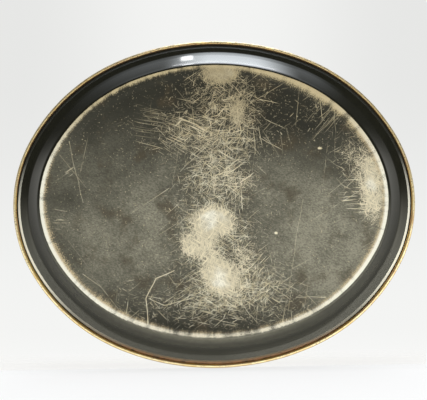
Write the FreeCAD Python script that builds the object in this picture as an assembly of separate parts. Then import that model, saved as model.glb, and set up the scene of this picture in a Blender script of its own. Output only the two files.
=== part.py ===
import FreeCAD
import Part

import math
import os

# A large oval serving tray of pressed sheet steel, upright on its foot ring.
# Origin at the middle of the foot ring's plane, +X along the tray, +Z up. Millimetres and degrees.

# Overall
LENGTH = 419.1  # over the rolled rim, along X (16 1/2 in)
WIDTH = 342.9  # over the rolled rim, along Y (13 1/2 in)
HEIGHT = 25.4  # from the foot ring's face to the top of the rim (1 in)
SHEET = 0.45  # sheet steel

# Rolled rim
WIRE_DIAMETER = 3.0  # iron wire that stiffens the rim
WIRE_CLEARANCE = 0.1  # between the wire and the sheet rolled round it
SEAM_GAP = 0.5  # between the sheet's cut edge and the lip that it is rolled back to

# Lip, flange and wall, outside faces, from the rim inwards
LIP_INSET = 7.0  # from the rim's outer edge in to the bend between lip and flange
LIP_SLOPE = 46.0  # above level
LIP_RADIUS = 4.0
FLANGE_RUN = 8.3  # level distance from the lip's bend to the crease at the wall
FLANGE_SLOPE = 23.0
CREASE_RADIUS = 13.0  # a soft bend between flange and wall
WALL_SLOPE = 52.0
FOOT_RADIUS = 3.6  # round the corner from wall to foot ring

# Foot ring and panel
FOOT_FLAT = 5.0  # width of the foot ring's flat face
PANEL_RAISE = 0.35  # the panel's underside stands this far above the foot ring's face
STEP_SLOPE = 15.0  # of the short step from foot ring to panel
STEP_RADIUS = 2.0

# Worked out from the above. A section is drawn with x outwards from the rim's outer edge, so x is
# negative on the sheet, and z upwards from the foot ring's face.
CURL_INSIDE = WIRE_DIAMETER / 2 + WIRE_CLEARANCE
BEAD_RADIUS = CURL_INSIDE + SHEET
BEAD_X = -BEAD_RADIUS
BEAD_Z = HEIGHT - BEAD_RADIUS
CURL_WRAP = 360 - math.degrees(math.acos((CURL_INSIDE - SEAM_GAP) / BEAD_RADIUS))


def slope(angle):
    """Rise over run of a line at an angle above level."""
    return math.tan(math.radians(angle))


def heading_vector(heading):
    """Unit vector along a heading in the section's plane, in degrees from outwards towards up."""
    return FreeCAD.Vector(math.cos(math.radians(heading)), 0, math.sin(math.radians(heading)))


class SheetSection:
    """A sheet's section, walked along its lower face by straight runs and bends."""

    def __init__(self, start, heading):
        self.point = start
        self.heading = heading
        self.spans = []

    def run(self, length):
        """Go straight on."""
        first = (self.point, self.heading)
        self.point = self.point + heading_vector(self.heading) * length
        self.spans.append([first, (self.point, self.heading)])

    def bend(self, radius, turn):
        """Bend by turn degrees, positive to the left, with the radius of the lower face."""
        side = math.copysign(90, turn)
        centre = self.point + heading_vector(self.heading + side) * radius
        stops = []
        for share in (0, 0.5, 1):
            heading = self.heading + turn * share
            stops.append((centre - heading_vector(heading + side) * radius, heading))
        self.point, self.heading = stops[-1]
        self.spans.append(stops)

    def edges(self, offset):
        """The walked line, moved to its left by offset."""
        edges = []
        for span in self.spans:
            points = [point + heading_vector(heading + 90) * offset for point, heading in span]
            if len(points) == 2:
                edges.append(Part.LineSegment(*points).toShape())
            else:
                edges.append(Part.Arc(*points).toShape())
        return edges

    def face(self, thickness):
        """The closed section between the lower face and the upper face."""
        lower = self.edges(0)
        upper = self.edges(thickness)
        ends = []
        for index, end in ((0, 0), (-1, -1)):
            low = lower[index].Vertexes[end].Point
            high = upper[index].Vertexes[end].Point
            ends.append(Part.LineSegment(low, high).toShape())
        wire = Part.Wire(Part.__sortEdges__(lower + upper + ends))
        return Part.Face(wire)


def bend_length(radius, turn):
    """How far a bend of this radius starts before the corner that it rounds."""
    return radius * slope(abs(turn) / 2)


def pan_section():
    """The pressing's section from the panel's edge out to the cut edge of the curl."""
    lip = heading_vector(LIP_SLOPE)
    curl_start = FreeCAD.Vector(BEAD_X, 0, BEAD_Z) + heading_vector(LIP_SLOPE + 90) * CURL_INSIDE
    lip_corner = curl_start - lip * ((curl_start.x + LIP_INSET) / lip.x)
    crease = lip_corner - FreeCAD.Vector(FLANGE_RUN, 0, FLANGE_RUN * slope(FLANGE_SLOPE))
    foot_corner = FreeCAD.Vector(crease.x - crease.z / slope(WALL_SLOPE), 0, 0)
    foot_width = FOOT_FLAT + bend_length(FOOT_RADIUS, WALL_SLOPE) + bend_length(STEP_RADIUS, STEP_SLOPE)
    step_out = foot_corner - FreeCAD.Vector(foot_width, 0, 0)
    step_in = step_out + FreeCAD.Vector(-PANEL_RAISE / slope(STEP_SLOPE), 0, PANEL_RAISE)

    corners = [
        (step_in, STEP_RADIUS, -STEP_SLOPE),
        (step_out, STEP_RADIUS, STEP_SLOPE),
        (foot_corner, FOOT_RADIUS, WALL_SLOPE),
        (crease, CREASE_RADIUS, FLANGE_SLOPE - WALL_SLOPE),
        (lip_corner, LIP_RADIUS, LIP_SLOPE - FLANGE_SLOPE),
        (curl_start, 0, 0),
    ]
    start = step_in - FreeCAD.Vector(bend_length(STEP_RADIUS, STEP_SLOPE), 0, 0)
    section = SheetSection(start, 0)
    for (corner, radius, turn), (following, next_radius, next_turn) in zip(corners, corners[1:]):
        section.bend(radius, turn)
        tangents = bend_length(radius, turn) + bend_length(next_radius, next_turn)
        section.run(corner.distanceToPoint(following) - tangents)
    section.bend(CURL_INSIDE, -CURL_WRAP)
    return section, -start.x


def oval_arcs():
    """The eight arcs of the rim's outer edge, as centre, radius, first angle and sweep.

    The end arcs and side arcs have the curvature of an ellipse at its ends and sides, and a corner
    arc joins each pair. Every parallel oval further in has the same centres and sweeps.
    """
    half_length = LENGTH / 2
    half_width = WIDTH / 2
    end_radius = half_width**2 / half_length
    side_radius = half_length**2 / half_width
    corner_radius = (half_length + half_width) / 2
    end = FreeCAD.Vector(half_length - end_radius, 0, 0)
    side = FreeCAD.Vector(0, half_width - side_radius, 0)

    line = end - side
    to_end = corner_radius - end_radius
    to_side = side_radius - corner_radius
    along = (line.Length**2 + to_side**2 - to_end**2) / (2 * line.Length)
    across = math.sqrt(to_side**2 - along**2)
    unit = line / line.Length
    corner = side + unit * along + FreeCAD.Vector(-unit.y, unit.x, 0) * across
    mirrored = FreeCAD.Vector(-corner.x, corner.y, 0)

    first = math.degrees(math.atan2(end.y - corner.y, end.x - corner.x))
    second = math.degrees(math.atan2(corner.y - side.y, corner.x - side.x))
    arcs = []
    for way, turn in ((1, 0), (-1, 180)):
        arcs.append((end * way, end_radius, turn - first, 2 * first))
        arcs.append((corner * way, corner_radius, turn + first, second - first))
        arcs.append((side * way, side_radius, turn + second, 180 - 2 * second))
        arcs.append((mirrored * way, corner_radius, turn + 180 - second, second - first))
    return arcs


def swept_round(section_face):
    """Sweep a section, drawn from the rim's outer edge, round the oval as eight turned sectors."""
    sectors = []
    for centre, radius, first, sweep in oval_arcs():
        sector = section_face.translated(FreeCAD.Vector(radius, 0, 0))
        sector = sector.revolve(FreeCAD.Vector(0, 0, 0), FreeCAD.Vector(0, 0, 1), sweep)
        sector.rotate(FreeCAD.Vector(0, 0, 0), FreeCAD.Vector(0, 0, 1), first)
        sector.translate(centre)
        sectors.append(sector)
    return sectors


def panel_plate(inset):
    """The flat panel inside the foot ring, out to a parallel oval inset from the rim."""
    edges = []
    for centre, radius, first, sweep in oval_arcs():
        level = centre + FreeCAD.Vector(0, 0, PANEL_RAISE)
        reach = radius - inset
        angles = (first, first + sweep / 2, first + sweep)
        points = []
        for angle in angles:
            turned = math.radians(angle)
            points.append(level + FreeCAD.Vector(math.cos(turned), math.sin(turned), 0) * reach)
        edges.append(Part.Arc(*points).toShape())
    outline = Part.Face(Part.Wire(edges))
    return outline.extrude(FreeCAD.Vector(0, 0, SHEET))


def tray_pan():
    """The one-piece pressing: panel, foot ring, wall, flange, lip and the curl round the wire."""
    section, panel_inset = pan_section()
    sectors = swept_round(section.face(SHEET))
    return panel_plate(panel_inset).multiFuse(sectors).removeSplitter()


def rim_wire():
    """The closed ring of iron wire inside the curl."""
    circle = Part.Circle(FreeCAD.Vector(BEAD_X, 0, BEAD_Z), FreeCAD.Vector(0, 1, 0), WIRE_DIAMETER / 2)
    sectors = swept_round(Part.Face(Part.Wire(circle.toShape())))
    return sectors[0].multiFuse(sectors[1:]).removeSplitter()


def main():
    """Write one STEP file for each piece of the tray."""
    os.makedirs("parts", exist_ok=True)
    for name, make in (("tray_pan", tray_pan), ("rim_wire", rim_wire)):
        piece = make()
        box = piece.optimalBoundingBox()
        print(
            f"{name}: solids {len(piece.Solids)}, valid {piece.isValid()}, volume {piece.Volume:.1f} mm3,"
            f" X {box.XMin:.2f}..{box.XMax:.2f}, Y {box.YMin:.2f}..{box.YMax:.2f},"
            f" Z {box.ZMin:.2f}..{box.ZMax:.2f}"
        )
        piece.exportStep(f"parts/{name}.step")


main()
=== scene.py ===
"""Looks of an oval serving tray of pressed sheet steel: worn black enamel and a gilt rolled rim.

Metres and degrees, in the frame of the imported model: +X along the tray, +Z up out of it, and the
foot ring's face at zero. Shader maths is in millimetres.
"""

import cmath
import logging
import math
from collections.abc import Callable, Iterable
from dataclasses import dataclass, field
from enum import Enum
from functools import reduce
from typing import Any, Union

import bpy
import numpy as np
from mathutils import Matrix, Vector


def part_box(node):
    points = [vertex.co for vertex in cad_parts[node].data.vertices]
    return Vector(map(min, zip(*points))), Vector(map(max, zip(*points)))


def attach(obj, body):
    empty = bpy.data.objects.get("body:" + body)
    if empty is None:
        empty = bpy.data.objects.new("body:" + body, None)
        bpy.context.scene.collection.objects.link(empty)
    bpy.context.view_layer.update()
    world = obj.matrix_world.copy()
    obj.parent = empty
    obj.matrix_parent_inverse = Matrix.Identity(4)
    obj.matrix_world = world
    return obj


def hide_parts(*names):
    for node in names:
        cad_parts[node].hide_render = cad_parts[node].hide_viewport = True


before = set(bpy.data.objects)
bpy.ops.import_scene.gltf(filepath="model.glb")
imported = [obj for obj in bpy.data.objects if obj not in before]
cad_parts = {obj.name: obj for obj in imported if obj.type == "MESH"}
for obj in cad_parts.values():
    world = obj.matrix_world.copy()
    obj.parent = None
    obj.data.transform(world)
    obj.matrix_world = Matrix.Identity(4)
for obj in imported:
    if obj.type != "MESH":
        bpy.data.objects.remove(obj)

LOG = logging.getLogger("tray")
MM = 0.001
BODY = "root"

Number = Union[int, float]
Triple = tuple[float, float, float]
Colour = Triple
Settings = Union[dict[str, Any], None]
Sockets = Union[dict[Union[str, int], Any], None]


class Finish(Enum):
    """The finishes on the pressing, in the order of its material slots."""

    UNDERSIDE = 0
    SERVING = 1
    GILT = 2
    CUT_EDGE = 3


# Shader maths


class Shader:
    """A node tree, with one method that makes any node."""

    def __init__(self, tree: bpy.types.NodeTree) -> None:
        """Empties the tree.

        Args:
            tree: The node tree of a material or of the world.
        """
        self.tree = tree
        tree.nodes.clear()

    def make(self, kind: str, settings: Settings = None, sockets: Sockets = None) -> bpy.types.Node:
        """Makes a node, sets it up and fills its sockets.

        Args:
            kind: The node's type.
            settings: Properties of the node, set first.
            sockets: A value or a link for each socket, by its name or its number.

        Returns:
            The new node.
        """
        node = self.tree.nodes.new(kind)
        for name, value in (settings or {}).items():
            setattr(node, name, value)
        for name, value in (sockets or {}).items():
            self.feed(node.inputs[name], value)
        return node

    def feed(self, socket: bpy.types.NodeSocket, value: Any) -> None:
        """Links a socket to a value's socket, or writes a plain number, vector or colour in it."""
        if isinstance(value, Value):
            self.tree.links.new(value.socket, socket)
        elif isinstance(value, bpy.types.NodeSocket):
            self.tree.links.new(value, socket)
        elif socket.type == "RGBA" and len(value) == 3:
            socket.default_value = (*value, 1.0)
        else:
            socket.default_value = value

    def value(self, kind: str, output: str | int, settings: Settings = None,
              sockets: Sockets = None) -> "Value":
        """Makes a node and wraps one of its outputs."""
        return Value(self, self.make(kind, settings, sockets).outputs[output])

    def attribute(self, name: str, output: str = "Fac") -> "Value":
        """A value that the mesh stores under a name."""
        return self.value("ShaderNodeAttribute", output, {"attribute_name": name})

    def millimetres(self) -> "Value":
        """The place on the object, as a vector in millimetres."""
        place = self.value("ShaderNodeTexCoord", "Object")
        return self.vector("SCALE", place, {"Scale": 1 / MM})

    def vector(self, operation: str, *terms: Any) -> "Value":
        """Vector maths on one or two terms; a dict as the last term names further sockets."""
        sockets = {}
        for index, term in enumerate(terms):
            sockets.update(term if isinstance(term, dict) else {index: term})
        output = "Value" if operation in ("LENGTH", "DISTANCE", "DOT_PRODUCT") else "Vector"
        return self.value("ShaderNodeVectorMath", output, {"operation": operation}, sockets)

    def mapped(self, place: "Value", turn: float, scale: tuple[Number, Number, Number],
               start: tuple[Number, Number, Number] = (0, 0, 0)) -> "Value":
        """A place seen from a start point, turned about Z by degrees and divided by a scale."""
        return self.value("ShaderNodeMapping", "Vector", {"vector_type": "TEXTURE"}, {
            "Vector": place, "Location": start, "Rotation": (0, 0, math.radians(turn)), "Scale": scale})

    def noise(self, place: "Value", size: float, detail: float = 2.0, rough: float = 0.5) -> "Value":
        """Soft noise from 0 to 1 with features of a size, in the units of the place."""
        return self.value("ShaderNodeTexNoise", "Fac", {"noise_dimensions": "3D"}, {
            "Vector": place, "Scale": 1 / size, "Detail": detail, "Roughness": rough})

    def blend(self, factor: Any, first: Any, second: Any) -> "Value":
        """The first colour where the factor is 0 and the second where it is 1."""
        return self.value("ShaderNodeMix", 2, {"data_type": "RGBA"}, {0: factor, 6: first, 7: second})

    def show(self, surface: bpy.types.Node) -> None:
        """Connects a surface to the material's output."""
        self.make("ShaderNodeOutputMaterial", None, {"Surface": surface.outputs[0]})

    def coat(self, colour: Any, rough: Any, metal: Any = 0.0, more: Sockets = None) -> None:
        """Makes the whole finish from its colour, roughness and share of metal."""
        sockets = {"Base Color": colour, "Roughness": rough, "Metallic": metal, **(more or {})}
        self.show(self.make("ShaderNodeBsdfPrincipled", None, sockets))

    def for_the_eye(self, share: Any, surface: bpy.types.Node) -> None:
        """Shows a share of a surface's front to the camera, and lets all other light through."""
        front = 1 - self.value("ShaderNodeNewGeometry", "Backfacing")
        seen = self.value("ShaderNodeLightPath", "Is Camera Ray")
        clear = self.make("ShaderNodeBsdfTransparent")
        self.show(self.make("ShaderNodeMixShader", None, {
            0: front * seen * share, 1: clear.outputs[0], 2: surface.outputs[0]}))


def smallest(values: Iterable["Value"]) -> "Value":
    """The least of several values."""
    return reduce(lambda least, other: least.math("MINIMUM", other), values)


def largest(values: Iterable["Value"]) -> "Value":
    """The greatest of several values."""
    return reduce(lambda most, other: most.math("MAXIMUM", other), values)


class Value:
    """A socket's value, on which plain operators add Math nodes."""

    def __init__(self, shader: Shader, socket: bpy.types.NodeSocket) -> None:
        """Wraps an output socket.

        Args:
            shader: The tree that the socket is in.
            socket: An output socket.
        """
        self.shader = shader
        self.socket = socket

    def math(self, operation: str, *others: Any, clamp: bool = False) -> "Value":
        """A Math node with this value as its first term."""
        terms = {index: term for index, term in enumerate((self, *others))}
        return self.shader.value("ShaderNodeMath", 0, {"operation": operation, "use_clamp": clamp}, terms)

    def __add__(self, other: Any) -> "Value":
        """Sum."""
        return self.math("ADD", other)

    def __radd__(self, other: Any) -> "Value":
        """Sum with a number first."""
        return self.math("ADD", other)

    def __mul__(self, other: Any) -> "Value":
        """Product."""
        return self.math("MULTIPLY", other)

    def __rmul__(self, other: Any) -> "Value":
        """Product with a number first."""
        return self.math("MULTIPLY", other)

    def __sub__(self, other: Any) -> "Value":
        """Difference."""
        return self.math("SUBTRACT", other)

    def __rsub__(self, other: Any) -> "Value":
        """Difference from a number."""
        flipped = self.math("MULTIPLY", -1.0)
        return flipped.math("ADD", other)

    def __pow__(self, other: Any) -> "Value":
        """Power."""
        return self.math("POWER", other)

    def __abs__(self) -> "Value":
        """Size without sign."""
        return self.math("ABSOLUTE")

    def __or__(self, other: "Value") -> "Value":
        """Union of two masks: either one shows."""
        return self.math("MAXIMUM", other)

    def rise(self, low: Any, high: Any) -> "Value":
        """Smooth step: 0 below low, 1 above high. With low above high it falls instead."""
        return self.shader.value("ShaderNodeMapRange", "Result", {"interpolation_type": "SMOOTHSTEP"}, {
            "Value": self, "From Min": low, "From Max": high})

    def between(self, low: float, high: float) -> "Value":
        """Scales 0 to 1 onto low to high."""
        return self.shader.value("ShaderNodeMapRange", "Result", None, {
            "Value": self, "To Min": low, "To Max": high})

    def axis(self, index: int) -> "Value":
        """One axis of a vector."""
        return self.shader.value("ShaderNodeSeparateXYZ", index, None, {0: self})


def painted(name: str, paint: Callable[[Shader], None]) -> bpy.types.Material:
    """A new material.

    Args:
        name: The material's name.
        paint: Fills the material's empty node tree.

    Returns:
        The material.
    """
    material = bpy.data.materials.new(name)
    material.use_nodes = True
    paint(Shader(material.node_tree))
    return material


def new_object(name: str, points: list[Any], faces: list[list[int]]) -> bpy.types.Object:
    """An object with a mesh of its own, linked to the scene.

    Args:
        name: The name of the object and of its mesh.
        points: The mesh's points.
        faces: For each face, the numbers of its points.

    Returns:
        The object.
    """
    mesh = bpy.data.meshes.new(name)
    mesh.from_pydata(points, [], faces)
    thing = bpy.data.objects.new(name, mesh)
    bpy.context.scene.collection.objects.link(thing)
    return thing


# Shape of the pressing


class SheetLine:
    """A line walked along the lower face of a sheet's section, outwards and up.

    The section's plane is held as complex numbers: the real part is outwards, the imaginary part up.
    """

    def __init__(self, start: complex) -> None:
        """Starts level, pointing outwards.

        Args:
            start: The first point.
        """
        self.stops: list[tuple[complex, float, float]] = [(start, 0.0, 0.0)]

    def run(self, length: float, steps: int, bow: float = 0.0) -> None:
        """Goes straight on, or along a very flat arc that swells downwards by bow in the middle."""
        first, heading, travelled = self.stops[-1]
        for step in range(1, steps + 1):
            share = step / steps
            swell = 4 * bow * share * (1 - share)
            lean = math.degrees(4 * bow * (1 - 2 * share) / length)
            point = first + cmath.rect(length * share, math.radians(heading))
            point -= 1j * cmath.rect(swell, math.radians(heading))
            keep = heading if step == steps else heading - lean
            self.stops.append((point, keep, travelled + length * share))

    def bend(self, radius: float, turn: float, steps: int) -> None:
        """Bends by turn degrees, positive upwards, with the radius of the lower face."""
        first, heading, travelled = self.stops[-1]
        side = math.copysign(90, turn)
        centre = first + cmath.rect(radius, math.radians(heading + side))
        for step in range(1, steps + 1):
            now = heading + turn * step / steps
            point = centre - cmath.rect(radius, math.radians(now + side))
            self.stops.append((point, now, travelled + radius * math.radians(abs(turn)) * step / steps))

    def face(self, offset: float) -> list[tuple[complex, float]]:
        """The points of the line moved up off the lower face by offset, each with its distance walked."""
        return [
            (point + cmath.rect(offset, math.radians(heading + 90)), travelled)
            for point, heading, travelled in self.stops
        ]


def bend_length(radius: float, turn: float) -> float:
    """How far a bend of this radius starts before the corner that it rounds."""
    return radius * math.tan(math.radians(abs(turn) / 2))


@dataclass(frozen=True)
class PanSection:
    """The pressing's section, from the panel's edge out to the cut edge of the curl."""

    height: float
    sheet: float = 0.45 * MM
    curl_inside: float = 1.6 * MM
    seam_gap: float = 0.5 * MM
    lip_inset: float = 7.0 * MM
    lip_slope: float = 46.0
    lip_radius: float = 4.0 * MM
    flange_run: float = 8.3 * MM
    flange_slope: float = 23.0
    crease_radius: float = 13.0 * MM
    wall_slope: float = 52.0
    wall_bow: float = -0.15 * MM
    foot_radius: float = 3.6 * MM
    foot_flat: float = 5.0 * MM
    panel_raise: float = 0.35 * MM
    step_slope: float = 3.5
    step_radius: float = 60.0 * MM

    def line(self) -> tuple[SheetLine, float]:
        """Walks the lower face.

        Returns:
            The line, and the distance walked along it at the corner between foot ring and wall.
        """
        bead = self.curl_inside + self.sheet
        bead_centre = complex(-bead, self.height - bead)
        lip = cmath.rect(1, math.radians(self.lip_slope))
        curl_start = bead_centre + 1j * lip * self.curl_inside
        lip_corner = curl_start - lip * (curl_start.real + self.lip_inset) / lip.real
        fall = self.flange_run * math.tan(math.radians(self.flange_slope))
        crease = lip_corner - complex(self.flange_run, fall)
        foot_corner = complex(crease.real - crease.imag / math.tan(math.radians(self.wall_slope)), 0)
        foot_bend = bend_length(self.foot_radius, self.wall_slope)
        step_bend = bend_length(self.step_radius, self.step_slope)
        step_out = foot_corner - (self.foot_flat + foot_bend + step_bend)
        step_run = self.panel_raise / math.tan(math.radians(self.step_slope))
        step_in = step_out + complex(-step_run, self.panel_raise)

        crease_turn = self.flange_slope - self.wall_slope
        crease_bend = bend_length(self.crease_radius, crease_turn)
        lip_turn = self.lip_slope - self.flange_slope
        lip_bend = bend_length(self.lip_radius, lip_turn)
        line = SheetLine(step_in - step_bend)
        line.bend(self.step_radius, -self.step_slope, 3)
        line.run(abs(step_out - step_in) - 2 * step_bend, 1)
        line.bend(self.step_radius, self.step_slope, 3)
        line.run(self.foot_flat, 4)
        foot = line.stops[-1][2]
        line.bend(self.foot_radius, self.wall_slope, 8)
        line.run(abs(crease - foot_corner) - foot_bend - crease_bend, 10, self.wall_bow)
        line.bend(self.crease_radius, crease_turn, 10)
        line.run(abs(lip_corner - crease) - crease_bend - lip_bend, 6)
        line.bend(self.lip_radius, lip_turn, 5)
        line.run(abs(curl_start - lip_corner) - lip_bend, 3)
        opening = math.degrees(math.acos((self.curl_inside - self.seam_gap) / bead))
        line.bend(self.curl_inside, opening - 360, 26)
        return line, foot


@dataclass(frozen=True)
class OvalTrack:
    """The rim's outer edge: eight arcs with an ellipse's curvature at its ends and sides."""

    half_length: float
    half_width: float

    def arcs(self) -> list[tuple[complex, float, float, float]]:
        """The arcs anticlockwise from the +X end, as centre, radius, first angle and sweep."""
        end_radius = self.half_width**2 / self.half_length
        side_radius = self.half_length**2 / self.half_width
        corner_radius = (self.half_length + self.half_width) / 2
        end = complex(self.half_length - end_radius, 0)
        side = complex(0, self.half_width - side_radius)
        line = end - side
        to_end = corner_radius - end_radius
        to_side = side_radius - corner_radius
        along = (abs(line) ** 2 + to_side**2 - to_end**2) / (2 * abs(line))
        across = math.sqrt(to_side**2 - along**2)
        corner = side + line / abs(line) * complex(along, across)
        first = cmath.phase(end - corner)
        second = cmath.phase(corner - side)
        arcs = []
        for way, turn in ((1, 0.0), (-1, math.pi)):
            arcs.append((end * way, end_radius, turn - first, 2 * first))
            arcs.append((corner * way, corner_radius, turn + first, second - first))
            arcs.append((side * way, side_radius, turn + second, math.pi - 2 * second))
            mirrored = complex(-corner.real, corner.imag)
            arcs.append((mirrored * way, corner_radius, turn + math.pi - second, second - first))
        return arcs

    def stations(self, spacing: float) -> tuple[np.ndarray, np.ndarray, np.ndarray]:
        """Places round the track, evenly spaced within each arc.

        Args:
            spacing: About how far apart they are.

        Returns:
            For each place, the centre of its arc, its radius and its outward direction, the first
            and last as complex numbers.
        """
        centres, radii, outward = [], [], []
        for centre, radius, first, sweep in self.arcs():
            steps = max(2, round(radius * sweep / spacing))
            for step in range(steps):
                centres.append(centre)
                radii.append(radius)
                outward.append(cmath.rect(1, first + sweep * step / steps))
        return np.array(centres), np.array(radii), np.array(outward)


@dataclass(frozen=True)
class Patch:
    """A soft-edged oval area of the underside, in millimetres, with how strongly it counts."""

    x: float
    y: float
    half_length: float
    half_width: float
    turn: float
    strength: float
    edge: float = 1.5

    def at(self, place: np.ndarray) -> np.ndarray:
        """The patch's strength at complex places, falling off as a bell from its middle."""
        local = (place - complex(self.x, self.y)) * cmath.rect(1, -math.radians(self.turn))
        reach = (local.real / self.half_length) ** 2 + (local.imag / self.half_width) ** 2
        return self.strength * np.exp(-(reach**self.edge))


def overlaid(patches: tuple[Patch, ...], place: np.ndarray) -> np.ndarray:
    """Strength of several patches laid over each other, from 0 to 1. A negative patch takes away."""
    kept = np.ones(len(place))
    for patch in patches:
        kept *= 1 - np.clip(patch.at(place), -1, 1)
    return np.clip(1 - kept, 0, 1)


@dataclass(frozen=True)
class RingWear:
    """How wide the foot ring is rubbed at one place round it, and how strongly the band shows there, partly
    from wear and partly as painted glint of the bare metal; anticlockwise from the -X end.
    """

    around: float
    width: float
    wear_and_glint: float


@dataclass(frozen=True)
class Wear:
    """Where the underside is rubbed, and where its painted sheen and glint lie, seen from below with +Y up
    and +X to the left.
    """

    bare: tuple[Patch, ...] = (
        Patch(-26, 92, 10, 14, 10, 0.5),
        Patch(-36, 16, 11, 8, 30, 0.35),
        Patch(-9, 133, 22, 13, 0, 1.0, 2.2),
        Patch(-26, 92, 9, 18, 8, 0.6),
        Patch(9, 54, 22, 20, 0, 0.3),
        Patch(-10, 20, 24, 18, 0, 0.35),
        Patch(1, -23, 25, 18, 0, 1.0, 2.2),
        Patch(21, -46, 18, 14, 15, 0.85, 2.2),
        Patch(4, -48, 12, 12, 0, 0.4),
        Patch(-4, -77, 25, 18, 50, 1.0, 2.2),
        Patch(-30, -62, 20, 22, 0, 0.4),
        Patch(-30, -100, 22, 14, 0, 0.25),
        Patch(-163, 8, 15, 38, 0, 0.85),
        Patch(-148, 40, 16, 26, -25, 0.45),
    )
    scratched: tuple[Patch, ...] = (
        Patch(46, 74, 34, 28, 0, 0.35),
        Patch(-12, 112, 46, 34, 0, 0.8),
        Patch(-6, 66, 46, 34, 0, 0.85),
        Patch(-4, 18, 42, 34, 0, 0.9),
        Patch(0, -35, 50, 36, 0, 0.9),
        Patch(-20, -86, 54, 36, 0, 0.95),
        Patch(20, -112, 80, 18, 0, 0.5),
        Patch(-154, 30, 26, 54, -12, 0.7),
        Patch(-108, 96, 30, 18, -40, 0.2),
        Patch(-75, -108, 44, 20, 22, 0.5),
        Patch(60, -95, 46, 28, -12, 0.25),
        Patch(-70, 75, 60, 40, 0, 0.22),
        Patch(60, 70, 60, 40, 0, 0.16),
    )
    # A grey veil, partly dust and fine scratches and partly painted sheen: brighter over the lower half and
    # the lower right, less where a patch takes away.
    haze: tuple[Patch, ...] = (
        Patch(-20, -35, 230, 92, 8, 0.5),
        Patch(-128, -62, 70, 60, 35, 0.6),
        Patch(-60, 0, 170, 60, 0, 0.15),
        Patch(92, -52, 56, 44, 0, 0.28),
        Patch(-95, -58, 60, 44, 30, 0.24),
        Patch(150, 2, 26, 14, 0, -0.2),
        Patch(0, -128, 110, 24, 0, -0.14),
        Patch(-95, 90, 50, 30, -30, -0.1),
        Patch(150, 50, 30, 20, 0, 0.08),
    )
    # Painted glint by angle: the ring shows brightest low on the left and right, dullest along the top.
    ring: tuple[RingWear, ...] = (
        RingWear(0, 9, 0.85),
        RingWear(20, 11, 0.85),
        RingWear(45, 12, 0.8),
        RingWear(65, 9, 0.8),
        RingWear(90, 6, 0.55),
        RingWear(120, 6, 0.8),
        RingWear(145, 6, 0.74),
        RingWear(165, 7, 0.85),
        RingWear(195, 10, 1.0),
        RingWear(225, 11, 0.85),
        RingWear(250, 9, 0.68),
        RingWear(285, 9.5, 0.69),
        RingWear(310, 9, 0.7),
        RingWear(335, 9, 1.0),
        RingWear(360, 9, 0.85),
    )


@dataclass
class Skin:
    """The pressing's surface as rings of points round the oval, in the order that they are joined.

    A run is the distance along the sheet, outwards from the corner between foot ring and wall.
    """

    centres: np.ndarray
    radii: np.ndarray
    outward: np.ndarray
    foot: float
    rings: list[np.ndarray] = field(default_factory=list)
    runs: list[np.ndarray] = field(default_factory=list)
    finishes: list[Finish] = field(default_factory=list)

    def oval(self, reach: float) -> np.ndarray:
        """The complex places of the oval that lies this far outside the rim's outer edge."""
        return self.centres + self.outward * (self.radii + reach)

    def add(self, place: np.ndarray, height: Any, walked: Any, finish: Finish) -> None:
        """Adds a ring, with the finish of the band between it and the next one."""
        level = np.zeros(len(place))
        self.rings.append(np.column_stack([place.real, place.imag, level + height]))
        self.runs.append(level + (walked - self.foot))
        self.finishes.append(finish)

    def add_face(self, face: list[tuple[complex, float]], finish: Finish) -> None:
        """Adds a ring for each point of a sheet face."""
        for point, walked in face:
            self.add(self.oval(point.real), point.imag, walked, finish)

    def faces(self) -> tuple[list[list[int]], list[int]]:
        """Joins each ring to the next, and the first and last to a middle point each.

        Returns:
            The faces, and the material slot of each.
        """
        count = len(self.centres)
        here = np.arange(count)
        after = np.roll(here, -1)
        faces, slots = [], []
        for index, finish in enumerate(self.finishes[:-1]):
            base, following = index * count, (index + 1) * count
            quads = np.column_stack([base + here, base + after, following + after, following + here])
            faces.extend(quads.tolist())
            slots.extend([finish.value] * count)
        last = (len(self.rings) - 1) * count
        pole = len(self.rings) * count
        faces.extend([[pole, int(b), int(a)] for a, b in zip(here, after)])
        slots.extend([Finish.UNDERSIDE.value] * count)
        faces.extend([[pole + 1, int(last + a), int(last + b)] for a, b in zip(here, after)])
        slots.extend([Finish.SERVING.value] * count)
        return faces, slots


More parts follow.
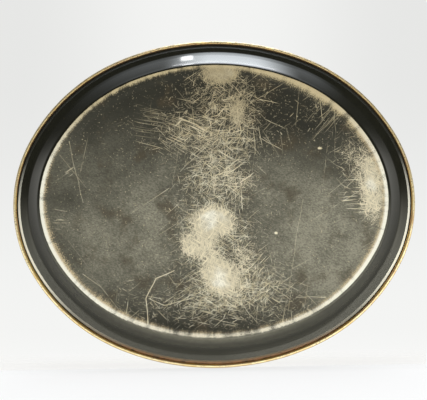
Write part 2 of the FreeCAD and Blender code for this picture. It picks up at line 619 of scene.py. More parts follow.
@dataclass
class TrayPan:
    """The one-piece pressing, with its rolled rim, as a closed mesh of rings round the oval."""

    section: PanSection
    track: OvalTrack
    wear: Wear = field(default_factory=Wear)
    spacing: float = 3.75 * MM
    panel_rings: int = 42
    panel_wave: float = 0.132 * MM
    panel_wave_span: float = 0.1
    rim_wave: float = 0.07 * MM
    rim_wave_orders: range = range(9, 60, 3)
    rim_wave_start: float = 26 * MM
    rim_wave_blend: float = 6 * MM
    gilt_from: float = 4.5 * MM
    sharp_edge: float = 40.0
    seed: int = 7

    def build(self) -> bpy.types.Object:
        """Makes the mesh and the values that its finishes read.

        Returns:
            The mesh object, in the frame's place.
        """
        line, foot = self.section.line()
        skin = Skin(*self.track.stations(self.spacing), foot)
        lower = line.face(0)
        upper = line.face(self.section.sheet)
        gilded = self._gilt_start(line)
        shares = [index / self.panel_rings for index in range(1, self.panel_rings)]

        self._add_panel(skin, lower[0], shares, Finish.UNDERSIDE)
        skin.add_face(lower, Finish.UNDERSIDE)
        skin.finishes[-1] = Finish.CUT_EDGE
        skin.add_face([stop for stop in reversed(upper) if stop[1] > gilded], Finish.GILT)
        skin.add_face([stop for stop in reversed(upper) if stop[1] <= gilded], Finish.SERVING)
        self._add_panel(skin, upper[0], shares[::-1], Finish.SERVING)
        self._wave_rim(skin)
        return self._mesh(skin, line)

    def _add_panel(self, skin: Skin, edge: tuple[complex, float], shares: list[float],
                   finish: Finish) -> None:
        """Adds the panel's rings at shares of the way from its middle to its edge."""
        point, walked = edge
        boundary = skin.oval(point.real)
        for share in shares:
            place = boundary * share
            gone = walked - (1 - share) * np.abs(boundary)
            skin.add(place, point.imag + self._sag(place, share), gone, finish)

    def _gilt_start(self, line: SheetLine) -> float:
        """Distance walked where the rim's gilding starts on the serving side."""
        outermost = max(stop[0].real for stop in line.stops)
        return max(stop[2] for stop in line.stops if stop[0].real < outermost - self.gilt_from)

    def _sag(self, place: np.ndarray, share: float) -> np.ndarray:
        """Slight waves of the pressed panel, none at its edge."""
        x, y = place.real / self.panel_wave_span, place.imag / self.panel_wave_span
        waves = np.sin(1.7 * x + 0.4) * np.cos(2.1 * y - 0.6) + 0.6 * np.sin(3.1 * y + 1.3 * x + 2.0)
        return self.panel_wave * waves * (1 - share**4)

    def _wave_rim(self, skin: Skin) -> None:
        """Draws the rolled rim in by up to twice rim_wave, unevenly, as rolled edges are."""
        rng = np.random.default_rng(self.seed)
        angle = np.linspace(0, 2 * math.pi, len(skin.centres), endpoint=False)
        wave = np.zeros(len(angle))
        for order in self.rim_wave_orders:
            wave += np.cos(order * angle + rng.uniform(0, 2 * math.pi)) * rng.uniform(0.2, 1)
        wave *= self.rim_wave / np.abs(wave).max()
        for ring, run in zip(skin.rings, skin.runs):
            amount = np.clip((run[0] - self.rim_wave_start) / self.rim_wave_blend, 0, 1)
            length = np.hypot(ring[:, 0], ring[:, 1])
            ring[:, :2] *= (1 - (amount * (self.rim_wave + wave) / length))[:, None]

    def _mesh(self, skin: Skin, line: SheetLine) -> bpy.types.Object:
        """Makes the closed mesh and stores what the finishes read."""
        middles = [[0, 0, ring[:, 2].mean()] for ring in (skin.rings[0], skin.rings[-1])]
        points = np.vstack([*skin.rings, middles])
        faces, slots = skin.faces()
        pan = new_object("pressed_pan", points.tolist(), faces)
        mesh = pan.data
        mesh.polygons.foreach_set("material_index", slots)
        mesh.polygons.foreach_set("use_smooth", [True] * len(faces))
        mesh.set_sharp_from_angle(angle=math.radians(self.sharp_edge))

        foot_stop = min(line.stops, key=lambda stop: abs(stop[2] - skin.foot))
        foot_line = np.append(np.tile(skin.oval(foot_stop[0].real), len(skin.rings)), [0, 0]) / MM
        run = np.concatenate([*skin.runs, [skin.runs[0].min(), skin.runs[-1].min()]]) / MM
        self._store(mesh, "track", np.column_stack([foot_line.real, foot_line.imag, run]))
        self._store(mesh, "run", run)
        place = (points[:, 0] + 1j * points[:, 1]) / MM
        for name in ("bare", "scratched", "haze"):
            self._store(mesh, name, overlaid(getattr(self.wear, name), place))
        around = np.degrees(np.arctan2(foot_line.imag, -foot_line.real)) % 360
        stops = [wear.around for wear in self.wear.ring]
        # Width of the ring's rubbed band, and its wear and painted glint, by angle round the oval.
        for name in ("width", "wear_and_glint"):
            values = [getattr(wear, name) for wear in self.wear.ring]
            self._store(mesh, f"ring_{name}", np.interp(around, stops, values))
        self._check(mesh)
        return pan

    @staticmethod
    def _check(mesh: bpy.types.Mesh) -> None:
        """Stops the script if the mesh is broken."""
        if mesh.validate(verbose=False):
            raise ValueError("the pressing's mesh had broken faces")

    @staticmethod
    def _store(mesh: bpy.types.Mesh, name: str, values: np.ndarray) -> None:
        """Stores a number or a vector for each point under a name."""
        kind, key = ("FLOAT_VECTOR", "vector") if values.ndim == 2 else ("FLOAT", "value")
        layer = mesh.attributes.new(name, kind, "POINT")
        layer.data.foreach_set(key, values.astype(np.float32).ravel())

    def dress(self, pan: bpy.types.Object) -> None:
        """Gives the pressing its finishes, in the order of the material slots."""
        finishes = {
            Finish.UNDERSIDE: WornEnamel(),
            Finish.SERVING: JapannedFace(),
            Finish.GILT: GiltRim(),
            Finish.CUT_EDGE: CutEdge(),
        }
        for finish in Finish:
            pan.data.materials.append(finishes[finish].material())


# Finishes


@dataclass(frozen=True)
class ScratchFamily:
    """Many scratches of one size and way, one to each cell of a scattered pattern."""

    length: float
    spacing: float
    width: float
    turn: float = 0.0
    spread: float = 180.0
    seed: float = 0.0
    strength: float = 1.0

    def mask(self, shader: Shader, place: Value, density: Any) -> Value:
        """Where these scratches show.

        Args:
            shader: The finish's shader.
            place: Place on the face, in millimetres.
            density: Share of the cells that have a scratch.

        Returns:
            0 off the scratches, up to the family's strength on them.
        """
        scale = (self.length, self.spacing, 1.0)
        start = (self.seed * 37.1, self.seed * 53.7, 0)
        mapped = shader.mapped(place, self.turn, scale, start)
        cells = shader.make("ShaderNodeTexVoronoi", {"voronoi_dimensions": "2D"}, {
            "Vector": mapped, "Scale": 1.0})
        offset = shader.vector("SUBTRACT", mapped, cells.outputs["Position"])
        dice = [Value(shader, throw) for throw in shader.make("ShaderNodeSeparateColor", None, {
            0: cells.outputs["Color"]}).outputs]
        tilt = (dice[0] - 0.5) * math.radians(self.spread)
        turned = shader.value("ShaderNodeVectorRotate", "Vector", {"rotation_type": "Z_AXIS"}, {
            "Vector": offset, "Angle": tilt})
        half_width = 0.5 * self.width / self.spacing
        line = abs(turned.axis(1)).rise(1.5 * half_width, 0.5 * half_width)
        ends = abs(turned.axis(0)).rise(0.55, 0.25)
        shown = (density - dice[1]).rise(0.0, 0.12)
        return line * ends * shown * (dice[2] ** 1.5).between(0.25 * self.strength, self.strength)


@dataclass(frozen=True)
class Sweep:
    """Close hairlines that go one way, thickest round a middle and gone beyond its reach."""

    turn: float
    x: float = 0.0
    y: float = 0.0
    reach: float = 400.0
    length: float = 26.0
    width: float = 0.9
    seed: float = 0.0
    strength: float = 0.8

    def mask(self, shader: Shader, place: Value, density: Any) -> Value:
        """Where these hairlines show.

        Args:
            shader: The finish's shader.
            place: Place on the face, in millimetres.
            density: How thick they lie at their thickest, 0 to 1.

        Returns:
            0 off the hairlines, up to the sweep's strength on them.
        """
        scale = (self.length, self.width, 1.0)
        start = (self.seed * 31.7, self.seed * 17.3, 0)
        lines = shader.noise(shader.mapped(place, self.turn, scale, start), 1.0, 1)
        near = shader.vector("DISTANCE", place, (self.x, self.y, 0)).rise(self.reach, self.reach * 0.2)
        amount = near * density
        return (lines + amount * 0.26).rise(0.83, 0.93) * amount.rise(0.0, 0.35) * self.strength


@dataclass(frozen=True)
class Stroke:
    """One long scratch through a few points, in millimetres on the underside."""

    points: tuple[tuple[float, float], ...]
    width: float = 0.8
    strength: float = 0.9

    def mask(self, shader: Shader, place: Value) -> Value:
        """Where the scratch shows, from 0 to its strength."""
        gaps = []
        for (ax, ay), (bx, by) in zip(self.points, self.points[1:]):
            span = (bx - ax, by - ay, 0)
            away = shader.vector("SUBTRACT", place, (ax, ay, 0))
            share = shader.vector("DOT_PRODUCT", away, span).math(
                "DIVIDE", span[0] ** 2 + span[1] ** 2, clamp=True)
            nearest = shader.vector("SCALE", span, {"Scale": share})
            gaps.append(shader.vector("DISTANCE", away, nearest))
        return smallest(gaps).rise(0.75 * self.width, 0.2 * self.width) * self.strength


@dataclass(frozen=True)
class Ground:
    """What all of the underside's finish reads.

    The track is the place on the oval of the corner between foot ring and wall, with the run as its
    third axis. The panel is a mask of all that lies inside that corner.
    """

    s: Shader
    place: Value
    track: Value
    run: Value
    panel: Value
    cloud: Value
    grain: Value

    @classmethod
    def read(cls, s: Shader) -> "Ground":
        """Reads the mesh's stored values and makes the shared patterns."""
        place = s.millimetres()
        track = s.attribute("track", "Vector")
        run = s.attribute("run")
        panel = run.rise(0.5, -0.5)
        return cls(s, place, track, run, panel, s.noise(place, 26, 3), s.noise(place, 0.8, 2))


@dataclass(frozen=True)
class WornEnamel:
    """Black enamel of the underside, rubbed to bare metal on the foot ring and down the middle, with painted
    sheen, glint, highlight and shade.
    """

    enamel_dark: Colour = (0.008, 0.008, 0.005)
    enamel_light: Colour = (0.014, 0.014, 0.009)
    # Grey of that veil, and of the painted sheen and of the painted light bounced onto the wall.
    haze_and_sheen_tone: Colour = (0.26, 0.252, 0.21)
    stained: Colour = (0.085, 0.06, 0.032)
    scratch: Colour = (0.72, 0.64, 0.46)
    scratch_pale: Colour = (0.92, 0.88, 0.74)
    scratch_tan: Colour = (0.66, 0.55, 0.35)
    metal: Colour = (0.68, 0.62, 0.495)
    metal_brown: Colour = (0.32, 0.26, 0.15)
    metal_bright: Colour = (0.84, 0.82, 0.76)
    # Red-brown of rust and of painted shade in the groove under the rim.
    lip_rust_and_shade: Colour = (0.27, 0.14, 0.07)
    # Brown of the lip's scuffed speckle and painted highlight, low in the middle.
    lip_highlight_brown: Colour = (0.40, 0.30, 0.21)
    # Bright bare metal, the colour of the ring's and the lip's painted glint.
    bright_metal_glint: Colour = (0.93, 0.92, 0.87)
    ring_metal: Colour = (0.60, 0.49, 0.33)
    ring_far: Colour = (0.57, 0.48, 0.31)
    lip_start: float = 31.0
    lip_end: float = 34.4
    short: tuple[ScratchFamily, ...] = (
        ScratchFamily(2.6, 1.8, 0.34, seed=1, strength=0.55),
        ScratchFamily(5.0, 3.2, 0.34, seed=2, strength=0.65),
        ScratchFamily(9.0, 4.8, 0.36, seed=3, strength=0.8),
    )
    bundles: tuple[ScratchFamily, ...] = (
        ScratchFamily(20, 4.0, 0.38, -40, 90, 5, 0.8),
        ScratchFamily(18, 4.0, 0.38, 40, 90, 6, 0.8),
        ScratchFamily(34, 7.0, 0.42, 20, 90, 7, 0.9),
        ScratchFamily(30, 7.0, 0.42, 90, 90, 8, 0.9),
    )
    crossed: tuple[Sweep, ...] = (
        Sweep(-42, seed=1, length=15, width=0.68),
        Sweep(36, seed=2, length=19, width=0.7),
        Sweep(82, seed=3, length=13, width=0.66),
        Sweep(5, seed=4, length=16, width=0.72),
        Sweep(-66, seed=12, length=11, width=0.64),
        Sweep(-14, seed=13, length=14, width=0.7),
    )
    sweeps: tuple[Sweep, ...] = (
        Sweep(22, 28, 74, 44, 30, 1.1, 5),
        Sweep(-48, -112, 84, 42, 40, 0.9, 6, 0.35),
        Sweep(-36, -24, 36, 34, 26, 1.2, 7),
        Sweep(-44, -36, -62, 30, 22, 1.1, 8),
        Sweep(-2, -150, 4, 46, 22, 0.95, 9, 0.75),
        Sweep(14, 0, -100, 70, 30, 1.2, 10, 0.5),
        Sweep(-30, 20, -92, 60, 26, 1.2, 11, 0.5),
        Sweep(12, 64, 84, 44, 36, 0.7, 16, 0.35),
        Sweep(30, 44, 62, 30, 24, 0.8, 17, 0.5),
        Sweep(4, 160, -22, 16, 26, 1.0, 14, 0.6),
        Sweep(-32, 152, 36, 14, 20, 1.0, 15, 0.6),
    )
    lone: tuple[ScratchFamily, ...] = (
        ScratchFamily(60, 15, 0.55, 55, 30, 11, 0.6),
        ScratchFamily(70, 17, 0.55, -30, 30, 12, 0.6),
        ScratchFamily(60, 19, 0.5, 100, 30, 13, 0.6),
    )
    strokes: tuple[Stroke, ...] = (
        Stroke(((45, -70), (64, -77), (73, -97), (72, -124)), 1.0),
        Stroke(((70, -97), (55, -104), (24, -97)), 0.8),
        Stroke(((-89, 2), (-65, -125)), 0.7, 0.6),
        Stroke(((151, 66), (137, 2)), 0.8, 0.6),
        Stroke(((166, -4), (153, -6)), 0.8, 0.6),
        Stroke(((167, -16), (151, -15)), 0.7, 0.5),
        Stroke(((-60, -33), (-61, -33)), 2.6, 1.0),
        Stroke(((-107, 54), (-109, 54)), 2.4, 1.0),
        Stroke(((137, -71), (119, -84)), 0.8, 0.7),
        Stroke(((-79, -99), (-110, -98)), 0.9, 0.7),
        Stroke(((-115, 7), (-166, 46)), 0.7, 0.6),
        Stroke(((37, 33), (8, 60)), 0.9, 0.8),
        Stroke(((26, 24), (-8, -12)), 0.9, 0.9),
    )

    def material(self) -> bpy.types.Material:
        """Makes the finish."""
        return painted("worn_black_enamel", self._paint)

    def _paint(self, s: Shader) -> None:
        """Fills the finish's node tree."""
        ground = Ground.read(s)
        place, run, panel, low = ground.place, ground.run, ground.panel, ground.track.axis(1)
        scratches = self._scratches(ground) * panel
        hair = largest(s.noise(s.mapped(place, turn, (8, 0.9, 1.0)), 1.0, 1) for turn in (-50, 25, 78)) - 0.6
        rubbed = s.attribute("bare") + (ground.cloud - 0.5) * 0.2 + hair * 1.6
        rubbed = rubbed + (ground.grain - 0.5) * 0.8 + scratches * 0.35
        bare = rubbed.rise(0.32, 0.82) * panel
        top = place.axis(1).rise(10, 120)
        mottle = s.noise(place, 6, 4, 0.6)
        metal = self._bare_metal(ground, top, hair)

        enamel = self._enamel(ground, low, mottle)
        scratch = s.blend(mottle.rise(0.4, 0.62), self.scratch, self.scratch_pale)
        scratch = s.blend(top * 0.75, scratch, self.scratch_tan)
        colour = s.blend(scratches, enamel, scratch)
        colour = s.blend(bare, colour, metal)
        ring = self._ring(ground, low)
        colour = s.blend(ring, colour, self._ring_tone(ground, low, top))
        # The lip's scuffed speckle and painted highlight; the highlight is pale metal towards the sides and
        # brown low in the middle.
        scuff_and_highlight = self._lip_scuff_and_highlight(ground, low)
        scuffed = s.blend(abs(ground.track.axis(0)).rise(60, 150), self.lip_highlight_brown, self.bright_metal_glint)
        colour = s.blend(scuff_and_highlight, colour, scuffed)
        # Rust and painted shade in the groove under the rolled rim, towards -Y.
        rust_and_groove_shade = run.rise(self.lip_start + 1.0, self.lip_end + 0.1) * low.rise(-95, -140)
        colour = s.blend(rust_and_groove_shade * mottle.rise(0.3, 0.55) * 0.85, colour, self.lip_rust_and_shade)

        worn = scratches | bare | ring | scuff_and_highlight
        grime = run.rise(self.lip_start, self.lip_start + 1.0)
        rough = s.noise(place, 4, 2).between(0.32, 0.40) * panel + (1 - panel) * 0.08
        rough = rough + worn * 0.12 + grime * 0.7
        bump = s.value("ShaderNodeBump", "Normal", None, {
            "Strength": 0.4, "Distance": MM, "Height": s.noise(place, 5, 2) * 0.02})
        s.coat(colour, rough, (bare | ring) * 0.25 | scuff_and_highlight * 0.3, {"IOR": 1.6, "Normal": bump})

    def _scratches(self, ground: Ground) -> Value:
        """All the scratches on the panel, dense down the middle and sparse elsewhere."""
        s, place = ground.s, ground.place
        sway = s.value("ShaderNodeCombineXYZ", 0, None, {
            0: s.noise(place, 31, 1), 1: s.noise(place, 43, 1)})
        swayed = s.vector("ADD", place, s.vector("SCALE", sway, {"Scale": 5.0}))
        density = s.attribute("scratched") * ground.cloud.between(0.6, 1.35)
        short = largest(family.mask(s, swayed, density * 0.6 + 0.03) for family in self.short)
        short = short | largest(sweep.mask(s, swayed, density) for sweep in self.crossed)
        bundles = largest(family.mask(s, swayed, density * 0.5) for family in self.bundles)
        bundles = bundles | largest(sweep.mask(s, swayed, 1.0) for sweep in self.sweeps)
        lone = largest(family.mask(s, place, density * 0.5 + 0.08) for family in self.lone)
        lone = lone * s.noise(place, 8, 2).rise(0.3, 0.5)
        return short | bundles | lone | largest(stroke.mask(s, swayed) for stroke in self.strokes)

    def _bare_metal(self, ground: Ground, top: Value, hair: Value) -> Value:
        """Colour of the metal where the panel is rubbed bare, browner towards +Y."""
        s = ground.s
        bright = (s.attribute("bare") + (ground.cloud - 0.5) * 1.2).rise(0.85, 1.15)
        metal = s.blend(bright, self.metal, self.metal_bright)
        metal = s.blend(top * 0.8, metal, self.metal_brown)
        return s.vector("SCALE", metal, {"Scale": hair * 1.5 + 1.0})

    def _enamel(self, ground: Ground, low: Value, mottle: Value) -> Value:
        """Colour of the enamel, with a grey veil that is partly dust and fine scratches and partly painted
        sheen, stain and specks, and painted light bounced onto the wall towards -Y.
        """
        s, place, run, panel = ground.s, ground.place, ground.run, ground.panel
        enamel = s.blend(s.noise(place, 9, 3), self.enamel_dark, self.enamel_light)
        fine = s.noise(s.mapped(place, 20, (1.9, 1.2, 1.0)), 1.0, 2).rise(0.25, 0.75).between(0.55, 1.45)
        smoke = s.noise(place, 46, 4, 0.65).rise(0.28, 0.72).between(0.6, 1.4)
        # Grey veil, partly dust and fine scratches and partly painted sheen.
        haze = s.attribute("haze") * smoke * panel * fine * (1 - s.attribute("scratched") * 0.75)
        stain = s.noise(place, 33, 3, 0.6).rise(0.52, 0.7) * panel
        enamel = s.blend(haze * (1 - stain * 0.45), enamel, self.haze_and_sheen_tone)
        enamel = s.blend(stain * 0.35, enamel, self.stained)
        specks = s.noise(place, 1.7, 1).rise(0.67, 0.75) * ground.cloud.rise(0.3, 0.55) * panel
        enamel = s.blend(specks * 0.5, enamel, self.scratch)
        # Painted light bounced onto the wall near the foot, strongest towards -Y.
        painted_bounce_light = run.rise(20, 12) * low.rise(-20, -75) * 0.1 + run.rise(11, 0) * low.rise(-95, -150) * 0.3
        return s.blend(painted_bounce_light * (1 - panel) * mottle.between(0.6, 1.4), enamel, self.haze_and_sheen_tone)

    def _ring(self, ground: Ground, low: Value) -> Value:
        """The foot ring's rubbed band, and its painted glint: sharp outside, frayed by short ticks inside.
        """
        s, track, run, grain = ground.s, ground.track, ground.run, ground.grain
        streaks = s.noise(s.vector("MULTIPLY", track, (1, 1, 0.12)), 0.9, 2, 0.6)
        depth = (run * -1).math("DIVIDE", s.attribute("ring_width"))
        fray = (streaks - 0.5) * 0.9 + (grain - 0.5) * 3.4
        inside = (depth * 1.15 + fray * depth.rise(0.0, 0.5)).rise(1.2, 0.25)
        speckle = low.rise(-85, -130).between(1.4, 7.0)
        outside = (run + (grain - 0.5) * speckle).rise(0.5, -0.3)
        patchy = s.noise(s.vector("MULTIPLY", track, (1, 1, 0)), 9, 3).rise(0.25, 0.6).between(0.55, 1.05)
        # How strongly the band shows is partly wear and partly painted glint.
        worn = inside * outside * s.attribute("ring_wear_and_glint") * patchy
        return (worn + (grain - 0.5) * 1.6).rise(0.2, 0.75) * worn.rise(0.0, 0.3)

    def _ring_tone(self, ground: Ground, low: Value, top: Value) -> Value:
        """Colour of the rubbed foot ring: duller inwards, towards -Y and where its painted glint is weak,
        browner towards +Y.
        """
        s = ground.s
        dull = (ground.run + (ground.grain - 0.5) * 4).rise(-2.2, -5.5)
        dull = dull | s.attribute("ring_wear_and_glint").rise(0.9, 0.6) * 0.4 | low.rise(-100, -150) * 0.45
        return s.blend(top, s.blend(dull, self.bright_metal_glint, self.ring_metal), self.ring_far)

    def _lip_scuff_and_highlight(self, ground: Ground, low: Value) -> Value:
        """Scuffed speckle along the lip, below the rolled rim, with a painted highlight there: strongest low
        on the left and right, none along the top.
        """
        s, run, side = ground.s, ground.run, ground.track.axis(0)
        along = s.noise(s.vector("MULTIPLY", ground.track, (1, 1, 0)), 22, 3)
        band = run.rise(self.lip_start - 0.2, self.lip_start + 0.8)
        band = band * run.rise(self.lip_end + 0.7, self.lip_end)
        spread = low.rise(45, -15) * abs(side).rise(125, 172).between(0.28, 1.0)
        gain = side.rise(60, 190).between(1.4, 1.8)
        speckle = (ground.grain - 0.5) * 1.2 + (along - 0.5) * 1.4
        return (speckle + band * gain).rise(0.55, 1.0) * spread * band


@dataclass(frozen=True)
class JapannedFace:
    """Glossy black serving face with plain pairs of gold lines round the panel and the flange.

    Each line is the run at its middle and its width.
    """

    black: Colour = (0.009, 0.009, 0.008)
    gold: Colour = (0.60, 0.42, 0.16)
    scuffed: Colour = (0.16, 0.15, 0.13)
    lines: tuple[tuple[float, float], ...] = ((-12.0, 0.5), (-14.6, 1.6), (26.4, 0.5), (28.8, 1.4))
    scuffs: tuple[ScratchFamily, ...] = (
        ScratchFamily(30, 9, 0.4, 25, 30, 21),
        ScratchFamily(24, 8, 0.4, -50, 30, 22),
        ScratchFamily(5, 5, 0.4, seed=23),
    )

    def material(self) -> bpy.types.Material:
        """Makes the finish."""
        return painted("japanned_serving_face", self._paint)

    def _paint(self, s: Shader) -> None:
        """Fills the finish's node tree."""
        place = s.millimetres()
        run = s.attribute("run")
        grain = s.noise(place, 1.0, 2)
        gold = largest(
            abs(run - middle + (grain - 0.5) * 0.15).rise(width * 0.5 + 0.15, width * 0.5 - 0.1)
            for middle, width in self.lines) * s.noise(place, 2.2, 3).rise(0.25, 0.4)
        scuffs = largest(family.mask(s, place, 0.16) for family in self.scuffs) * 0.35
        colour = s.blend(gold, self.black, self.gold)
        colour = s.blend(scuffs, colour, self.scuffed)
        s.coat(colour, scuffs * 0.3 + s.noise(place, 30, 2).between(0.14, 0.22), gold * 0.8)


@dataclass(frozen=True)
class GiltRim:
    """Gold bronze on the rolled rim, rubbed thin and chipped to brown, with a painted highlight along its
    crest, and rust and painted shade of the seam's gap towards its seam.

    Edge, middle, crest and seam are runs, in that order round the rim.
    """

    gold: Colour = (0.64, 0.42, 0.14)
    # Pale gold of the painted highlight along the crest.
    pale: Colour = (1.0, 0.88, 0.58)
    copper: Colour = (0.55, 0.34, 0.20)
    brown: Colour = (0.12, 0.07, 0.03)
    # Near-black brown of rust and of the painted shade in the seam's gap.
    rust: Colour = (0.05, 0.028, 0.014)
    edge: float = 41.4
    middle: float = 42.9
    crest: float = 43.2
    seam: float = 44.6

    def material(self) -> bpy.types.Material:
        """Makes the finish."""
        return painted("rubbed_gilt", self._paint)

    def _paint(self, s: Shader) -> None:
        """Fills the finish's node tree."""
        place = s.millimetres()
        track = s.attribute("track", "Vector")
        run = s.attribute("run")
        along = s.noise(s.vector("MULTIPLY", track, (1, 1, 1.5)), 11, 4, 0.65)
        fine = s.noise(place, 1.3, 3, 0.6)
        # Painted highlight: a pale band along the bead's crest.
        crest = abs(run - self.crest).rise(1.3, 0.4)
        patches = s.noise(s.vector("MULTIPLY", track, (1, 1, 0)), 26, 3)
        colour = s.blend(patches.rise(0.48, 0.6) * 0.7, self.gold, self.copper)
        colour = s.blend((along.rise(0.3, 0.6) * 0.8 + 0.2) * crest, colour, self.pale)
        far = track.axis(1).rise(20, 90)
        line = abs(run - self.middle + (fine - 0.5) * 1.6).rise(0.6, 0.2) * far * along.rise(0.42, 0.55)
        edge = abs(run - self.edge + (fine - 0.5) * 1.6).rise(0.9, 0.3) * 0.6
        chips = (along * 0.35 + fine * 0.7).rise(0.57, 0.66) | line | edge
        colour = s.blend(chips * 0.85, colour, self.brown)
        # Rust and painted shade of the seam's gap, narrower towards -Y.
        near = track.axis(1).rise(60, -60)
        seam = (run + (fine - 0.5) * 0.8 - near * 1.3).rise(self.seam - 0.6, self.seam + 0.1)
        colour = s.blend(seam, colour, self.rust)
        s.coat(colour, fine.between(0.28, 0.5), (1 - (chips | seam)) * 0.85 + 0.05)


@dataclass(frozen=True)
class CutEdge:
    """The sheet's bare cut edge in the rim's seam, with brown rust."""

    rust: Colour = (0.10, 0.045, 0.02)
    steel: Colour = (0.22, 0.17, 0.12)

    def material(self) -> bpy.types.Material:
        """Makes the finish."""
        return painted("rusty_cut_edge", self._paint)

    def _paint(self, s: Shader) -> None:
        """Fills the finish's node tree."""
        spots = s.noise(s.millimetres(), 2.5, 3)
        s.coat(s.blend(spots.rise(0.35, 0.65), self.rust, self.steel), spots.between(0.5, 0.9))


@dataclass(frozen=True)
class IronWire:
    """Drawn iron wire with a thin brown oxide film."""

    iron: Colour = (0.20, 0.16, 0.12)
    oxide: Colour = (0.09, 0.045, 0.025)

    def material(self) -> bpy.types.Material:
        """Makes the finish."""
        return painted("oxidised_iron_wire", self._paint)

    def _paint(self, s: Shader) -> None:
        """Fills the finish's node tree."""
        spots = s.noise(s.millimetres(), 4.0, 3)
        s.coat(s.blend(spots.rise(0.4, 0.65), self.iron, self.oxide), spots.between(0.45, 0.8), 0.6)


@dataclass
class RimWire:
    """The wire inside the rolled rim, which keeps its shape from the frame."""

    def dress(self, wire: bpy.types.Object) -> None:
        """Gives the wire its finish."""
        wire.data.materials.clear()
        wire.data.materials.append(IronWire().material())


# Studio


@dataclass(frozen=True)
class SoftBox:
    """A rectangular lamp that the camera doesn't see."""

    name: str
    place: Triple
    aim: Triple
    size: tuple[float, float]
    power: float
    colour: Colour = (1.0, 1.0, 1.0)
    reflected: bool = True

    def build(self) -> None:
        """Makes the lamp and turns it to its aim."""
        data = bpy.data.lights.new(self.name, "AREA")
        data.color = self.colour
        data.shape = "RECTANGLE"
        data.size, data.size_y = self.size
        data.energy = self.power
        lamp = bpy.data.objects.new(self.name, data)
        turn = (Vector(self.aim) - Vector(self.place)).to_track_quat("-Z", "Y")
        lamp.matrix_world = Matrix.Translation(self.place) @ turn.to_matrix().to_4x4()
        lamp.visible_camera = False
        lamp.visible_glossy = self.reflected
        bpy.context.scene.collection.objects.link(lamp)


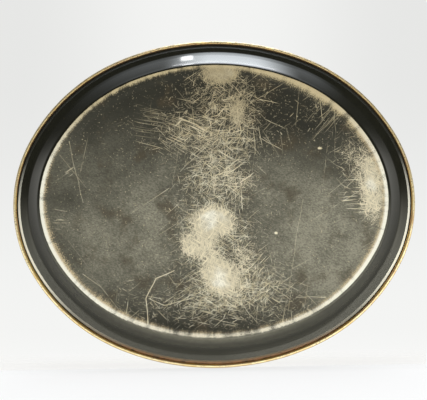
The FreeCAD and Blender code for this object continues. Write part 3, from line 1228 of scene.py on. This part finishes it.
@dataclass
class Studio:
    """Table, floor, light and camera. The tray stands on its long edge and leans back a little."""

    track: OvalTrack
    height: float
    bead: float = 2.05 * MM
    lean: float = 6.5
    roll: float = 0.9
    distance: float = 1.5467
    lens: float = 125.0
    sensor: float = 36.0
    aim_up: float = 2.7 * MM
    aim_right: float = -0.6 * MM
    far: float = 20.0
    table_half: float = 0.6
    fold: float = -10.5 * MM
    riser: float = 22 * MM
    depth_of_riser: float = 9.4
    own_light: float = 0.84
    floor_half: float = 3.0
    floor_gap: float = 0.2 * MM
    backdrop: Colour = (0.995, 1.0, 0.985)
    table_white: Colour = (0.88, 0.88, 0.88)
    around: Colour = (1.0, 0.99, 0.92)
    front: Colour = (1.0, 0.98, 0.83)
    canopy: Colour = (0.90, 0.96, 1.0)
    boxes: tuple[SoftBox, ...] = (
        SoftBox("overhead_edge", (-0.06, 1.0, 0.56), (0, 0.12, 0), (0.5, 0.12), 1.2),
        SoftBox("front", (-0.5, -0.3, -1.4), (0, 0, 0), (0.6, 0.5), 5.5, (1.0, 0.98, 0.90), False),
        SoftBox("lamp", (0.12, 1.06, 0.21), (0.03, 0.15, 0.01), (0.055, 0.42), 0.6),
    )

    def axes(self) -> tuple[Vector, Vector, Vector]:
        """Right, up and towards the camera, for the standing tray seen from below."""
        lean = math.radians(self.lean)
        up = Vector((0, math.cos(lean), -math.sin(lean)))
        towards = Vector((0, -math.sin(lean), -math.cos(lean)))
        return up.cross(towards), up, towards

    def build(self) -> None:
        """Builds everything that isn't the tray."""
        self._camera()
        self._table()
        self._floor()
        self._world()
        for box in self.boxes:
            box.build()

    def _camera(self) -> None:
        """Makes the scene's camera."""
        right, up, towards = self.axes()
        roll = math.radians(self.roll)
        camera_up = up * math.cos(roll) + right * math.sin(roll)
        camera_right = right * math.cos(roll) - up * math.sin(roll)
        middle = Vector((0, 0, self.height - self.bead))
        aim = middle + camera_up * self.aim_up + camera_right * self.aim_right
        data = bpy.data.cameras.new("camera")
        data.lens = self.lens
        data.sensor_width = self.sensor
        data.clip_end = self.far
        camera = bpy.data.objects.new("camera", data)
        turn = Matrix((camera_right, camera_up, towards)).transposed()
        camera.matrix_world = Matrix.Translation(aim + towards * self.distance) @ turn.to_4x4()
        bpy.context.scene.collection.objects.link(camera)
        bpy.context.scene.camera = camera

    def _table(self) -> None:
        """The table that the tray's long edge stands on, folded up behind it, seen only from in front.

        The riser is shaded as the stretch of table that it hides from the scene's camera would be.
        """
        right, up, towards = self.axes()
        edge = Vector((0, -(self.track.half_width - self.bead), self.height - self.bead))
        level = edge.dot(up) - self.bead
        half = self.table_half
        corners = [up * level + right * x + towards * z for x, z in
                   ((-half, self.fold), (-half, half), (half, half), (half, self.fold))]
        corners += [corners[index] + Vector((0, self.riser, 0)) for index in (0, 3)]
        table = new_object("table", [corner[:] for corner in corners], [[0, 1, 2, 3], [4, 0, 3, 5]])
        table.data.materials.append(painted("white_table", lambda s: self._paint_table(s, level)))

    def _paint_table(self, s: Shader, level: float) -> None:
        """Fills the table's node tree, with the table's height along the standing tray: mostly its own glow,
        with a painted shadow where the tray's edge meets it and painted shade behind the tray.
        """
        right, up, towards = self.axes()
        place = s.value("ShaderNodeTexCoord", "Object")
        above = s.vector("DOT_PRODUCT", place, tuple(up)) - level
        deep = s.vector("DOT_PRODUCT", place, tuple(towards)) - above * self.depth_of_riser
        wide = abs(s.vector("DOT_PRODUCT", place, tuple(right)))
        patch = deep.rise(-0.17, -0.07) * wide.rise(0.36, 0.25)
        # Painted shadow where the tray's edge meets the table.
        painted_contact_shadow = deep.rise(-0.12, -0.03) * deep.rise(0.06, -0.02) * wide.rise(0.3, 0.14)
        white = s.make("ShaderNodeBsdfDiffuse", None, {"Color": self.table_white})
        # Painted shade: the glow is darker in that shadow and further behind the tray.
        dim = painted_contact_shadow * 0.09 + deep.rise(0.02, -0.12) * 0.07
        glow = s.make("ShaderNodeEmission", None, {"Strength": 1 - dim})
        lit = s.make("ShaderNodeMixShader", None, {
            0: self.own_light, 1: white.outputs[0], 2: glow.outputs[0]})
        s.for_the_eye(patch, lit)

    def _floor(self) -> None:
        """A floor under the foot ring for looks from above, which lets all other light through."""
        half = self.floor_half
        corners = [(-half, -half, 0), (half, -half, 0), (half, half, 0), (-half, half, 0)]
        floor = new_object("floor", corners, [[0, 1, 2, 3]])
        floor.location.z = -self.floor_gap
        floor.data.materials.append(painted("pale_floor", lambda s: s.for_the_eye(
            1.0, s.make("ShaderNodeBsdfDiffuse", None, {"Color": self.table_white}))))

    def _world(self) -> None:
        """The room as the tray reflects it, and a pale backdrop for the camera.

        It is bright on the serving side, dim in front of the underside, and brightest in a canopy
        over the far edge.
        """
        world = bpy.data.worlds.new("studio")
        world.use_nodes = True
        bpy.context.scene.world = world
        s = Shader(world.node_tree)
        direction = s.value("ShaderNodeTexCoord", "Generated")
        side, high, back = (direction.axis(index) for index in range(3))
        behind = back.rise(0.0, 0.6)
        front = back.rise(0.3, -0.3)
        open_sides = high.rise(0.62, 0.3)
        in_front = high.rise(0.21, -0.05) * 0.5 + high.rise(0.0, -0.58) * 1.1
        in_front = in_front + abs(side).rise(0.3, 0.6) * high.rise(0.3, -0.2) * high.rise(-0.5, -0.2) * 0.68
        in_front = in_front + side.rise(0.0, -0.12) * high.rise(0.2, -0.05) * 0.45
        shaded = high.rise(-0.6, -0.8) * back.rise(-0.78, -0.5) * back.rise(0.15, -0.1)
        lit = front * in_front * (1 - shaded * 0.6)
        slant = (back * -1).math("DIVIDE", high.math("MAXIMUM", 0.05))
        canopy = slant.rise(0.56, 0.3) * high.rise(0.45, 0.7)
        middle = abs(side + 0.075)
        wide = middle.rise(0.75, 0.2) * slant.rise(-0.8, -0.2) * side.rise(-0.62, -0.4)
        glow = wide * 1.05 + middle.rise(0.27, 0.07) * 5.2
        around = s.vector("SCALE", self.around, {"Scale": behind * open_sides + 0.08})
        around = s.vector("ADD", around, s.vector("SCALE", self.front, {"Scale": lit}))
        around = s.vector("ADD", around, s.vector("SCALE", self.canopy, {"Scale": canopy * glow}))
        # Painted light on the backdrop: brighter in the middle towards the top, and towards the bottom.
        painted_backdrop_light = abs(side).rise(0.13, 0.02) * high.rise(0.05, 0.2) * 0.1
        painted_backdrop_light = painted_backdrop_light + high.rise(0.2, 0.02) * 0.11 + high.rise(0.03, 0.0) * 0.03
        backdrop = s.vector("SCALE", self.backdrop, {"Scale": painted_backdrop_light + 0.8})
        seen = s.value("ShaderNodeLightPath", "Is Camera Ray")
        shown = s.blend(seen, around, backdrop)
        background = s.make("ShaderNodeBackground", None, {"Color": shown, "Strength": 1.0})
        s.make("ShaderNodeOutputWorld", None, {"Surface": background.outputs[0]})


def main() -> None:
    """Builds and dresses the tray, then the studio."""
    logging.basicConfig(level=logging.INFO, format="%(name)s: %(message)s")
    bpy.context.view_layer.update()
    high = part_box("tray_pan")[1]
    track = OvalTrack(high.x, high.y)
    section = PanSection(high.z)

    tray = TrayPan(section, track)
    pan = tray.build()
    tray.dress(pan)
    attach(pan, BODY)
    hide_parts("tray_pan")
    LOG.info("pressed_pan: %d faces", len(pan.data.polygons))

    RimWire().dress(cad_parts["rim_wire"])
    LOG.info("rim_wire: dressed")

    Studio(track, high.z).build()
    LOG.info("studio: built")

    bpy.context.scene.view_settings.view_transform = "Standard"
    bpy.context.view_layer.update()


if __name__ == "__main__":
    main()
